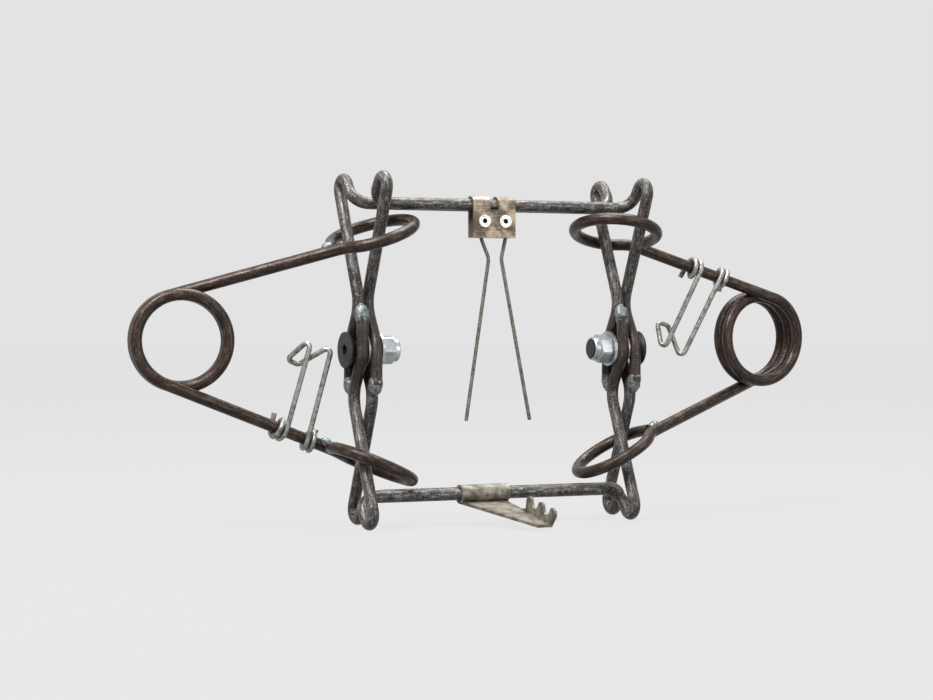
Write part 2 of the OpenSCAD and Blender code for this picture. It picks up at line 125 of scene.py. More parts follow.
def bend(before: Vector, knee: Vector, after: Vector, radius: float, step: float = 4.0) -> Route:
    """A rounded bend where two straight stretches of wire meet.

    Args:
        before: A point on the stretch that comes in.
        knee: Where the two stretches would cross.
        after: A point on the stretch that goes out.
        radius: Bend radius at the wire's centre line.
        step: Largest turn between two points, in degrees.

    Returns:
        The points of the bend.
    """
    back, ahead = (before - knee).normalized(), (after - knee).normalized()
    turn = pi - back.angle(ahead)
    centre = knee + (back + ahead).normalized() * radius / cos(turn / 2)
    start = knee + back * radius * tan(turn / 2)
    count = max(2, ceil(degrees(turn) / step))
    return arc(centre, (start - centre).normalized(), -back, radius, 0, degrees(turn), count)


def evened(points: Route, step: float, passes: int) -> Route:
    """The same route with points a steady distance apart, and with its kinks eased.

    Args:
        points: The route as drawn.
        step: Distance between two points, in mm.
        passes: How often each point is drawn towards its neighbours.

    Returns:
        The new route, with the same two ends.
    """
    spans = [(b - a).length for a, b in zip(points, points[1:])]
    total = sum(spans)
    count = max(2, round(total / step))
    route, index, walked = [], 0, 0.0
    for i in range(count + 1):
        target = total * i / count
        while index < len(spans) - 1 and walked + spans[index] < target:
            walked += spans[index]
            index += 1
        share = (target - walked) / spans[index] if spans[index] else 0.0
        route.append(points[index].lerp(points[index + 1], min(1.0, max(0.0, share))))
    for _ in range(passes):
        middle = [(a + 2 * b + c) / 4 for a, b, c in zip(route, route[1:], route[2:])]
        route = [route[0], *middle, route[-1]]
    return route


def turned(points: Route, matrix: Matrix) -> Route:
    """The route with every point moved by a matrix."""
    return [matrix @ p for p in points]


# Meshes


def new_mesh(name: str, verts: Sequence[Vector], faces: Sequence[Sequence[int]],
             uvs: Sequence[Pair] | None = None) -> Piece:
    """Adds a smooth mesh object to the scene.

    Args:
        name: The piece's name.
        verts: Corners in mm.
        faces: Corner numbers of each face.
        uvs: For each corner, the share round the wire and the length along it in metres.

    Returns:
        The new object, at the origin.
    """
    mesh = bpy.data.meshes.new(name)
    mesh.from_pydata([tuple(v * MM) for v in verts], [], faces)
    if uvs:
        layer = mesh.uv_layers.new(name="along")
        for loop in mesh.loops:
            layer.data[loop.index].uv = uvs[loop.vertex_index]
    mesh.update()
    mesh.shade_smooth()
    piece = bpy.data.objects.new(name, mesh)
    bpy.context.scene.collection.objects.link(piece)
    return piece


def band_faces(rows: int, columns: int, closed: bool = False) -> list[tuple[int, ...]]:
    """Faces between rings of corners, each ring joined to the next.

    Args:
        rows: Number of rings.
        columns: Corners of a ring.
        closed: Whether the last ring is joined to the first.

    Returns:
        The corner numbers of each face.
    """
    faces: list[tuple[int, ...]] = []
    for i in range(rows if closed else rows - 1):
        here, there = i * columns, (i + 1) % rows * columns
        faces += [(here + k, here + (k + 1) % columns, there + (k + 1) % columns, there + k)
                  for k in range(columns)]
    return faces


def wire(name: str, route: Route, diameter: float, sides: int, cut: float,
         radii: Sequence[float] | None = None) -> Piece:
    """A round wire along a route, with the small burr-free edge of a cut end.

    Args:
        name: The piece's name.
        route: Centre line in mm.
        diameter: Wire diameter in mm.
        sides: Corners of the wire's section.
        cut: Size of the eased edge at each end, in mm.
        radii: Radius at each point, where it isn't the same all along.

    Returns:
        The wire.
    """
    sizes = list(radii) if radii else [diameter / 2] * len(route)
    first, last = (route[1] - route[0]).normalized(), (route[-1] - route[-2]).normalized()
    path = [route[0], route[0] + first * cut * FIRST_EASE, route[0] + first * cut, *route[1:-1],
            route[-1] - last * cut, route[-1] - last * cut * FIRST_EASE, route[-1]]
    sizes = [sizes[0] - cut, sizes[0] - cut * FIRST_EASE, sizes[0], *sizes[1:-1],
             sizes[-1], sizes[-1] - cut * FIRST_EASE, sizes[-1] - cut]
    tangents = [(path[min(i + 1, len(path) - 1)] - path[max(i - 1, 0)]).normalized()
                for i in range(len(path))]
    normal = tangents[0].orthogonal().normalized()
    verts: Route = []
    uvs: list[Pair] = []
    length = 0.0
    for i, (point, tangent, size) in enumerate(zip(path, tangents, sizes)):
        normal = (normal - normal.dot(tangent) * tangent).normalized()
        across = tangent.cross(normal)
        length += (point - path[i - 1]).length * MM if i else 0.0
        for k in range(sides):
            a = 2 * pi * k / sides
            verts.append(point + size * (cos(a) * normal + sin(a) * across))
            uvs.append((abs(2 * k / sides - 1), length))
    end = (len(path) - 1) * sides
    caps = [tuple(range(sides - 1, -1, -1)), tuple(range(end, end + sides))]
    return new_mesh(name, verts, band_faces(len(path), sides) + caps, uvs)


def merge(piece: Piece, distance: float) -> None:
    """Joins the corners of a mesh that lie close together.

    Args:
        piece: The mesh object.
        distance: How close together, in mm.
    """
    work = bmesh.new()
    work.from_mesh(piece.data)
    bmesh.ops.remove_doubles(work, verts=work.verts, dist=distance * MM)
    bmesh.ops.recalc_face_normals(work, faces=work.faces)
    work.to_mesh(piece.data)
    work.free()


@dataclass(frozen=True)
class WeldBead:
    """A bead of weld metal: a lump with the ripples that a moving puddle leaves.

    The first of the three axes runs along the bead, sizes are half sizes in mm along the axes, and
    the seed is a place in the noise, so that no two beads are alike.
    """

    name: str
    centre: Vector
    axes: Sequence[Vector]
    sizes: Triple
    seed: int
    seed_step: float = 7.3
    core: float = 0.93
    lump_scale: float = 0.45
    lump_share: float = 0.09
    ripple: float = 1.1
    ripple_lag: float = 0.35
    ripple_share: float = 0.022
    rows: int = 36
    columns: int = 48
    seam: float = 0.02

    def point(self, lat: float, lon: float) -> Vector:
        """A point of the bead's skin.

        Args:
            lat: Angle from the first axis, in radians.
            lon: Angle round the first axis, in radians.

        Returns:
            The point in mm.
        """
        unit = Vector((cos(lat), sin(lat) * cos(lon), sin(lat) * sin(lon)))
        spot = sum((axis * size * part for axis, size, part in zip(self.axes, self.sizes, unit)),
                   Vector())
        lump = noise.noise(spot * self.lump_scale + Vector((self.seed * self.seed_step, 0, 0)))
        ahead = self.sizes[0] * unit.x + self.ripple_lag * spot.length
        ring = sin(2 * pi * ahead / self.ripple) * sin(lat)
        return self.centre + spot * (self.core + self.lump_share * lump + self.ripple_share * ring)

    def build(self) -> Piece:
        """Makes the bead.

        Returns:
            The bead, without a finish.
        """
        verts = [self.point(pi * i / self.rows, 2 * pi * k / self.columns)
                 for i in range(self.rows + 1) for k in range(self.columns)]
        faces = [(a, d, c, b) for a, b, c, d in band_faces(self.rows + 1, self.columns)]
        piece = new_mesh(self.name, verts, faces)
        merge(piece, self.seam)
        return piece


# Finishes


def linear(code: str) -> Colour:
    """The linear colour of an sRGB hex code such as "#6e6a66"."""
    parts = [int(code[i:i + 2], 16) / 255 for i in (1, 3, 5)]
    return (*[p / 12.92 if p <= 0.04045 else ((p + 0.055) / 1.055) ** 2.4 for p in parts], 1.0)


def cleared(owner: bpy.types.Material | bpy.types.World) -> Tree:
    """Empties the nodes of a new material or world.

    Args:
        owner: The material or the world.

    Returns:
        Its nodes.
    """
    owner.use_nodes = True
    owner.node_tree.nodes.clear()
    return owner.node_tree


def add(tree: Tree, kind: str, inputs: Skin | None = None, **settings: str) -> Node:
    """Adds a node with its settings, values and links.

    Args:
        tree: The nodes of a material or world.
        kind: Blender's name of the node type, without ShaderNode.
        inputs: For each input, a value, an sRGB hex code, a socket to link from, or a node whose
            first output is linked.
        settings: Properties of the node.

    Returns:
        The node.
    """
    item = tree.nodes.new("ShaderNode" + kind)
    for key, value in settings.items():
        setattr(item, key, value)
    for key, value in (inputs or {}).items():
        value = value.outputs[0] if isinstance(value, Node) else value
        if isinstance(value, Socket):
            tree.links.new(value, item.inputs[key])
        else:
            item.inputs[key].default_value = linear(value) if isinstance(value, str) else value
    return item


def calc(tree: Tree, operation: str, first: Source, second: Source | float = 0.0) -> Node:
    """One step of arithmetic on one or two values."""
    return add(tree, "Math", {0: first, 1: second}, operation=operation)


def ramp(tree: Tree, source: Source, low: float, high: float, start: float = 0.0,
         stop: float = 1.0) -> Node:
    """Maps a pattern's value between low and high to start and stop, softly at both ends."""
    return add(tree, "MapRange", {"Value": source, "From Min": low, "From Max": high,
                                  "To Min": start, "To Max": stop}, interpolation_type="SMOOTHSTEP")


def lay(tree: Tree, under: str | Socket, colour: str, source: Source, *span: float) -> Socket:
    """Lays a colour over another by a pattern, whose ramp is span, and returns the mix."""
    share = ramp(tree, source, *span)
    return add(tree, "Mix", {"Factor": share, 6: under, 7: colour}, data_type="RGBA").outputs[2]


def pattern(tree: Tree, where: Socket, size_mm: float, detail: float, rough: float) -> Node:
    """A noise whose features are about size_mm across."""
    return add(tree, "TexNoise", {"Vector": where, "Scale": 1 / (size_mm * MM), "Detail": detail,
                                  "Roughness": rough})


def streaked(tree: Tree, where: Socket, scale: tuple[float, ...], detail: float,
             rough: float) -> Node:
    """A noise drawn out along an axis: scale is its features per metre, or per unit of a UV."""
    return add(tree, "TexNoise", {"Vector": add(tree, "Mapping", {"Vector": where, "Scale": scale}),
                                  "Scale": 1.0, "Detail": detail, "Roughness": rough})


def bump(tree: Tree, height: Node, strength: float, depth_mm: float) -> Node:
    """A bump after a pattern, depth_mm deep at full strength."""
    return add(tree, "Bump", {"Height": height, "Strength": strength, "Distance": depth_mm * MM})


@dataclass(frozen=True)
class Finish:
    """What every finish has: a name for the material and the record's slot it belongs to."""

    name: str
    slot: str

    def skin(self, tree: Tree) -> Skin:
        """The surface shader's inputs. Each finish has its own."""
        raise NotImplementedError

    def material(self) -> bpy.types.Material:
        """The finish as a material, made once.

        Returns:
            The material.
        """
        if self.name not in bpy.data.materials:
            tree = cleared(bpy.data.materials.new(self.name))
            surface = add(tree, "BsdfPrincipled", self.skin(tree))
            add(tree, "OutputMaterial", {"Surface": surface})
        return bpy.data.materials[self.name]

    def dress(self, *pieces: Piece) -> None:
        """Puts the finish on every material slot of some pieces.

        Args:
            pieces: The pieces.
        """
        for piece in pieces:
            if not piece.data.materials:
                piece.data.materials.append(self.material())
            for slot in piece.material_slots:
                slot.link = "OBJECT"
                slot.material = self.material()


@dataclass(frozen=True)
class ScaledSteel(Finish):
    """Hot rolled or oil tempered rod: thin grey-brown scale with worn, brighter patches.

    The scale is what makes the rod dull and mottled, and handling rubs it through on the outside.
    The pale streaks along the rod are partly this rubbing and partly painted highlight.
    """

    base: str
    dark: str
    bright: str
    metallic: float
    roughness: float
    patch_mm: float
    fleck_mm: float
    fleck: float = 0.6
    heat: str | None = None
    heat_mm: Pair = (34.0, 14.0)
    sheen: float = 0.2
    streaks: Triple = (7.0, 140.0, 1.0)

    def skin(self, tree: Tree) -> Skin:
        """Mottled scale, pale streaks along the rod that are partly rubbed wear and partly painted
        highlight, grain, and brown heat tint at the eyes.

        Args:
            tree: The material's nodes.

        Returns:
            The surface shader's inputs.
        """
        where = add(tree, "TexCoord")
        spot = where.outputs["Object"]
        patches = pattern(tree, spot, self.patch_mm, 5, 0.6)
        flecks = pattern(tree, spot, self.fleck_mm, 3, 0.65)
        rubbed = streaked(tree, where.outputs["UV"], self.streaks, 4.0, 0.6)
        colour = lay(tree, self.dark, self.base, patches, 0.34, 0.62, 0.4, 1)
        # Pale streaks along the wire: partly rubbed wear, partly painted highlight streaks.
        colour = lay(tree, colour, self.bright, rubbed, 0.48, 0.72, 0, 0.45)
        colour = lay(tree, colour, self.bright, flecks, 0.55, 0.67, 0, self.fleck)
        colour = lay(tree, colour, self.dark, flecks, 0.44, 0.32, 0, self.fleck)
        if self.heat:
            height = calc(tree, "ABSOLUTE", add(tree, "SeparateXYZ", {0: spot}).outputs[2])
            span = [limit * MM for limit in self.heat_mm]
            colour = lay(tree, colour, self.heat, height, *span, 0, 0.7)
        rough = ramp(tree, patches, 0.3, 0.7, self.roughness + 0.1, self.roughness - 0.08)
        return {"Metallic": self.metallic, "Specular IOR Level": self.sheen, "Base Color": colour,
                "Roughness": rough, "Normal": bump(tree, flecks, 0.6, 0.25)}


@dataclass(frozen=True)
class PlatedSteel(Finish):
    """Zinc on steel, from a bright plated nut to a dull galvanised wire.

    A thin zinc coat is even and silvery, with a faint cloudy bloom where it has begun to whiten.
    """

    base: str
    bloom: str
    roughness: float
    cloud_mm: float
    metallic: float = 1.0
    pit: str = "#5c5a54"
    pit_mm: float = 0.5

    def skin(self, tree: Tree) -> Skin:
        """A cloudy bloom, fine pits and their bump.

        Args:
            tree: The material's nodes.

        Returns:
            The surface shader's inputs.
        """
        spot = add(tree, "TexCoord").outputs["Object"]
        clouds = pattern(tree, spot, self.cloud_mm, 5, 0.6)
        pits = pattern(tree, spot, self.pit_mm, 2, 0.5)
        colour = lay(tree, self.base, self.bloom, clouds, 0.42, 0.68)
        colour = lay(tree, colour, self.pit, pits, 0.36, 0.26, 0, 0.4)
        rough = ramp(tree, clouds, 0.35, 0.7, self.roughness, self.roughness + 0.16)
        return {"Metallic": self.metallic, "Base Color": colour, "Roughness": rough,
                "Normal": bump(tree, pits, 0.2, 0.05)}


@dataclass(frozen=True)
class BoredRivet(PlatedSteel):
    """Zinc plated tubular rivets. Their bores are painted near black, as painted shade in the
    recess.
    """

    middle: Pair = (-5.0, 68.4)
    half_pitch: float = 6.2
    bore_r: float = 1.3
    bore_edge: float = 0.1
    # Painted shade for the inside of each bore.
    painted_bore_shade: str = "#0d0c0b"

    def skin(self, tree: Tree) -> Skin:
        """The plating, with painted shade inside the bore radius round each rivet's middle.

        Args:
            tree: The material's nodes.

        Returns:
            The surface shader's inputs.
        """
        plated = super().skin(tree)
        spot = add(tree, "SeparateXYZ", {0: add(tree, "TexCoord").outputs["Object"]})
        x = calc(tree, "SUBTRACT", spot.outputs[0], self.middle[0] * MM)
        x = calc(tree, "SUBTRACT", calc(tree, "ABSOLUTE", x), self.half_pitch * MM)
        z = calc(tree, "SUBTRACT", spot.outputs[2], self.middle[1] * MM)
        flat = add(tree, "CombineXYZ", {0: x, 1: z})
        away = add(tree, "VectorMath", {0: flat}, operation="LENGTH").outputs["Value"]
        # Painted shade: each bore is darkened where its recess falls dark.
        colour = lay(tree, plated["Base Color"], self.painted_bore_shade, away,
                     (self.bore_r + self.bore_edge) * MM, self.bore_r * MM)
        return {**plated, "Base Color": colour}


@dataclass(frozen=True)
class RolledSheet(Finish):
    """Cold rolled strip, stamped and folded: fine rolling lines, smears of oil and grey stains."""

    base: str
    stain: str
    bright: str
    roughness: float
    metallic: float
    lines_mm: Triple = (18.0, 0.35, 0.35)
    blotch_mm: float = 6.0
    grit_mm: float = 0.8

    def skin(self, tree: Tree) -> Skin:
        """Rolling lines along X, blotches of stain and fine grit.

        Args:
            tree: The material's nodes.

        Returns:
            The surface shader's inputs.
        """
        spot = add(tree, "TexCoord").outputs["Object"]
        lines = streaked(tree, spot, tuple(1 / (s * MM) for s in self.lines_mm), 3.0, 0.5)
        blotches = pattern(tree, spot, self.blotch_mm, 5, 0.62)
        grit = pattern(tree, spot, self.grit_mm, 3, 0.6)
        colour = lay(tree, self.stain, self.base, blotches, 0.36, 0.66)
        colour = lay(tree, colour, self.bright, lines, 0.52, 0.74, 0, 0.55)
        colour = lay(tree, colour, self.stain, grit, 0.38, 0.28, 0, 0.5)
        rough = ramp(tree, blotches, 0.3, 0.7, self.roughness + 0.12, self.roughness - 0.06)
        return {"Metallic": self.metallic, "Base Color": colour, "Roughness": rough,
                "Normal": bump(tree, lines, 0.25, 0.06)}


@dataclass(frozen=True)
class WeldMetal(Finish):
    """Fused steel, as welded: silvery, tinted green-blue by heat, with dark slag in the hollows."""

    base: str = "#84898a"
    tint: str = "#4f5c5f"
    slag: str = "#26221f"
    metallic: float = 0.7
    cloud_mm: float = 2.6
    slag_mm: float = 1.6

    def skin(self, tree: Tree) -> Skin:
        """Heat tint in clouds, and blotches of slag with their bump.

        Args:
            tree: The material's nodes.

        Returns:
            The surface shader's inputs.
        """
        spot = add(tree, "TexCoord").outputs["Object"]
        clouds = pattern(tree, spot, self.cloud_mm, 4, 0.6)
        slag = pattern(tree, spot, self.slag_mm, 5, 0.7)
        colour = lay(tree, self.base, self.tint, clouds, 0.4, 0.65)
        colour = lay(tree, colour, self.slag, slag, 0.53, 0.66)
        return {"Metallic": self.metallic, "Base Color": colour,
                "Roughness": ramp(tree, slag, 0.4, 0.65, 0.42, 0.7),
                "Normal": bump(tree, slag, 0.6, 0.3)}


@dataclass(frozen=True)
class RubbedDark(Finish):
    """An even, dull dark skin, grey where it is rubbed: salt-blackened steel, or nylon."""

    base: str = "#282727"
    rubbed: str = "#5d5b59"
    roughness: float = 0.5
    metallic: float = 0.55
    rub_mm: float = 2.0
    grain_mm: float = 0.45

    def skin(self, tree: Tree) -> Skin:
        """Fine grey rubbing over the dark skin.

        Args:
            tree: The material's nodes.

        Returns:
            The surface shader's inputs.
        """
        spot = add(tree, "TexCoord").outputs["Object"]
        rub = pattern(tree, spot, self.rub_mm, 6, 0.7)
        grain = pattern(tree, spot, self.grain_mm, 2, 0.5)
        colour = lay(tree, self.base, self.rubbed, rub, 0.5, 0.75, 0, 0.6)
        return {"Metallic": self.metallic, "Base Color": colour, "Roughness": self.roughness,
                "Normal": bump(tree, grain, 0.25, 0.06)}


# Dark mottled scale with bare flecks, browned by welding heat at the eyes.
MILL_ROD = ScaledSteel("hot_rolled_mill_scale_rod", "frame_rod", "#494543", "#151312", "#b6b2ac",
                       0.2, 0.34, patch_mm=5.0, fleck_mm=0.8, fleck=0.55, heat="#33271f")
# The darkest and brownest wire, with few flecks.
SPRING_WIRE = ScaledSteel("oil_tempered_spring_wire", "spring_wire", "#332821", "#100c0a",
                          "#7c6b5f", 0.2, 0.3, patch_mm=8.0, fleck_mm=0.8, fleck=0.22)
# Paler wire, with streaks along it that are partly drawing-die marks and partly painted highlight.
TRIGGER_WIRE = ScaledSteel("drawn_trigger_wire", "trigger_wire", "#716a62", "#2f2b28", "#b0a89d",
                           0.35, 0.36, patch_mm=4.0, fleck_mm=0.7)
# Dull grey zinc with dark clouds.
HOOK_WIRE = PlatedSteel("galvanised_hook_wire", "hook_wire", "#969690", "#5e5d57", 0.36, 2.4, 0.75)
# The brightest silver of the trap, soft in its reflections.
NUT_ZINC = PlatedSteel("bright_zinc_plate", "zinc_nut", "#acb1b2", "#8b9193", 0.36, 4.0)
# Warm silver, with painted shade that makes the bores near black.
RIVET_ZINC = BoredRivet("rivet_zinc_plate", "rivet", "#c9c6bf", "#a09d96", 0.34, 2.0)
# A thin, greyer coat.
SPACER_ZINC = PlatedSteel("plain_zinc_washer", "spacer", "#8d8881", "#6b6660", 0.38, 3.0)
# Tan strip with brown stains and pale rolling lines.
TRIGGER_SHEET = RolledSheet("cold_rolled_trigger_strip", "trigger_sheet", "#988a76", "#4f4538",
                            "#c3b6a0", 0.45, 0.5)
# Greyer strip than the trigger's, and less shiny.
DOG_SHEET = RolledSheet("stamped_dog_strip", "dog_sheet", "#8d877b", "#4c4740", "#b2ab9e",
                        0.5, 0.45)
# Silvery beads, tinted by heat and spotted with slag.
WELD = WeldMetal("as_welded_bead", "weld")
# Even near-black, grey where a key has rubbed it.
SCREW_BLACK = RubbedDark("black_oxide_screw", "black_screw")
# Dull dark plastic, without any metal in it.
NYLON = RubbedDark("nylon_lock_ring", "nut_insert", "#3c3b38", "#55534f", 0.6, 0.0)


def finish_piece(piece: Piece, finish: Finish, body: str, *nodes: str) -> None:
    """Dresses a new piece, hangs it on its body and hides the solids that it stands for.

    Args:
        piece: The piece, still without a parent.
        finish: What it is dressed with.
        body: The body that carries it.
        nodes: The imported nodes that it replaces.
    """
    finish.dress(piece)
    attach(piece, body)
    if nodes:
        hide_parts(*nodes)
    LOG.info("%s rides on %s", piece.name, body)


def bend_piece(piece: Piece, finish: Finish, bodies: tuple[str, str]) -> None:
    """Dresses a new piece and bakes its place into its mesh; it is not hung on a body and does not
    bend.

    Args:
        piece: The piece, still without a parent.
        finish: What it is dressed with.
        bodies: The bodies at its near end and at its far end, which are only named in the log.
    """
    finish.dress(piece)
    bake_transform(piece)
    LOG.info("%s bends between %s and %s", piece.name, *bodies)


# The trap's own pieces


@dataclass
class RodFrames:
    """The two square frames, each of an upper and a lower rod welded at the pivot eyes."""

    rod_d: float = 6.35
    frame_w: float = 155.0
    bar_z: float = 77.0
    bar_gap: float = 2.6
    hump_z: float = 90.1
    hump_leg_y: float = 22.0
    hump_pitch: float = 10.4
    corner_r: float = 9.0
    screw_r: float = 9.525 / 2
    eye_clear: float = 0.45
    waist_z: float = 24.0
    waist_y: float = 4.5
    waist_bend_r: float = 14.0
    tip_z: float = 18.2
    spacer_t: float = 0.9
    spacer_gap: float = 0.3
    eye_steps: int = 24
    hump_steps: int = 48
    step: float = 0.9
    passes: int = 3
    sides: int = 32
    cut: float = 0.5
    bead_sizes: Triple = (7.2, 4.1, 4.0)
    bead_tilt: float = 0.3
    bead_in: float = 1.0
    bead_up: float = 0.2

    @property
    def eye_pitch(self) -> float:
        """Distance between the middles of the two eyes on one screw."""
        return self.rod_d + self.spacer_t + 2 * self.spacer_gap

    @property
    def eye_r(self) -> float:
        """Radius of an eye at the rod's centre line."""
        return self.screw_r + self.eye_clear + self.rod_d / 2

    @property
    def bar_y(self) -> float:
        """Distance of each bar from the pivot plane."""
        return (self.rod_d + self.bar_gap) / 2

    @property
    def sides_x(self) -> Pair:
        """Where the two arms of a frame lie in X: the outer one on the left, the inner right."""
        return -(self.frame_w + self.eye_pitch) / 2, (self.frame_w - self.eye_pitch) / 2

    def outline(self) -> Route:
        """An arm from its hooked tip, round the eye, through the waist and over the hump, in YZ.

        Returns:
            The arm's centre line at X = 0.
        """
        hump_r = self.hump_pitch / 2
        hump = Vector((0, self.hump_leg_y - hump_r, self.hump_z - hump_r))
        waist = Vector((0, -self.waist_y, self.waist_z))
        bar = Vector((0, self.bar_y, self.bar_z))
        eye_angle = (degrees(atan2(self.waist_z, -self.waist_y))
                     - degrees(acos(self.eye_r / waist.length)))
        eye = arc(Vector(), Y_AXIS, Z_AXIS, self.eye_r, 0, eye_angle, self.eye_steps)
        rise, fall = hump - waist, hump - bar
        start = degrees(atan2(rise.z, rise.y) - asin(hump_r / rise.length)) - 90
        stop = degrees(atan2(fall.z, fall.y) + asin(hump_r / fall.length)) + 90
        over = arc(hump, Y_AXIS, Z_AXIS, hump_r, start, stop, self.hump_steps)
        return [Vector((0, self.eye_r, -self.tip_z)), *eye,
                *bend(eye[-1], waist, over[0], self.waist_bend_r), *over]

    def route(self) -> Route:
        """One rod from tip to tip, drawn as the upper rod of the back frame.

        Returns:
            The rod's centre line.
        """
        x_left, x_right = self.sides_x
        left = [p + X_AXIS * x_left for p in self.outline()]
        right = [p + X_AXIS * x_right for p in reversed(self.outline())]
        c1, c2 = Vector((x_left, self.bar_y, self.bar_z)), Vector((x_right, self.bar_y, self.bar_z))
        corners = [*bend(left[-1], c1, c2, self.corner_r), *bend(c1, c2, right[0], self.corner_r)]
        return evened([*left, *corners, *right], self.step, self.passes)

    def build_bead(self, name: str, index: int, x: float, place: Matrix) -> None:
        """Makes the weld bead that closes one eye.

        Args:
            name: The frame's letter.
            index: Number of the eye in its frame.
            x: Where the eye lies along the pivot axis.
            place: Where it lies, from the back frame's upper rod.
        """
        centre = place @ Vector((x, self.eye_r - self.bead_in, -self.tip_z + self.bead_up))
        along, across = Vector((0, self.bead_tilt, 1)), Vector((0, 1, -self.bead_tilt))
        axes = [place.to_3x3() @ v for v in (along.normalized(), across.normalized(), X_AXIS)]
        bead = WeldBead(f"eye_bead_{name}_{index}", centre, axes, self.bead_sizes,
                        index + 4 * (name == "b")).build()
        finish_piece(bead, WELD, f"frame_{name}", f"eye_welds_{name}")

    def build(self) -> None:
        """Makes the four rods and the eight weld beads at the eyes."""
        upside, about = Matrix.Rotation(pi, 4, "X"), Matrix.Rotation(pi, 4, "Z")
        turns = {"a": Matrix(), "b": about}
        for name, turn in turns.items():
            for level, place in ((Level.UPPER, turn), (Level.LOWER, turn @ upside)):
                rod = wire(f"rod_{name}_{level.word}", turned(self.route(), place), self.rod_d,
                           self.sides, self.cut)
                finish_piece(rod, MILL_ROD, f"frame_{name}", f"frame_{name}_{level.word}")
        for name, turn in turns.items():
            eyes = [(x, flip) for x in self.sides_x for flip in (Matrix(), upside)]
            for index, (x, flip) in enumerate(eyes):
                self.build_bead(name, index, x, turn @ flip)


@dataclass
class RingPose:
    """Where one ring of a spring lies: height, slope, tilt, and how far forward it is shifted."""

    z: float
    slope: float
    tilt: float
    front: float = 0.0


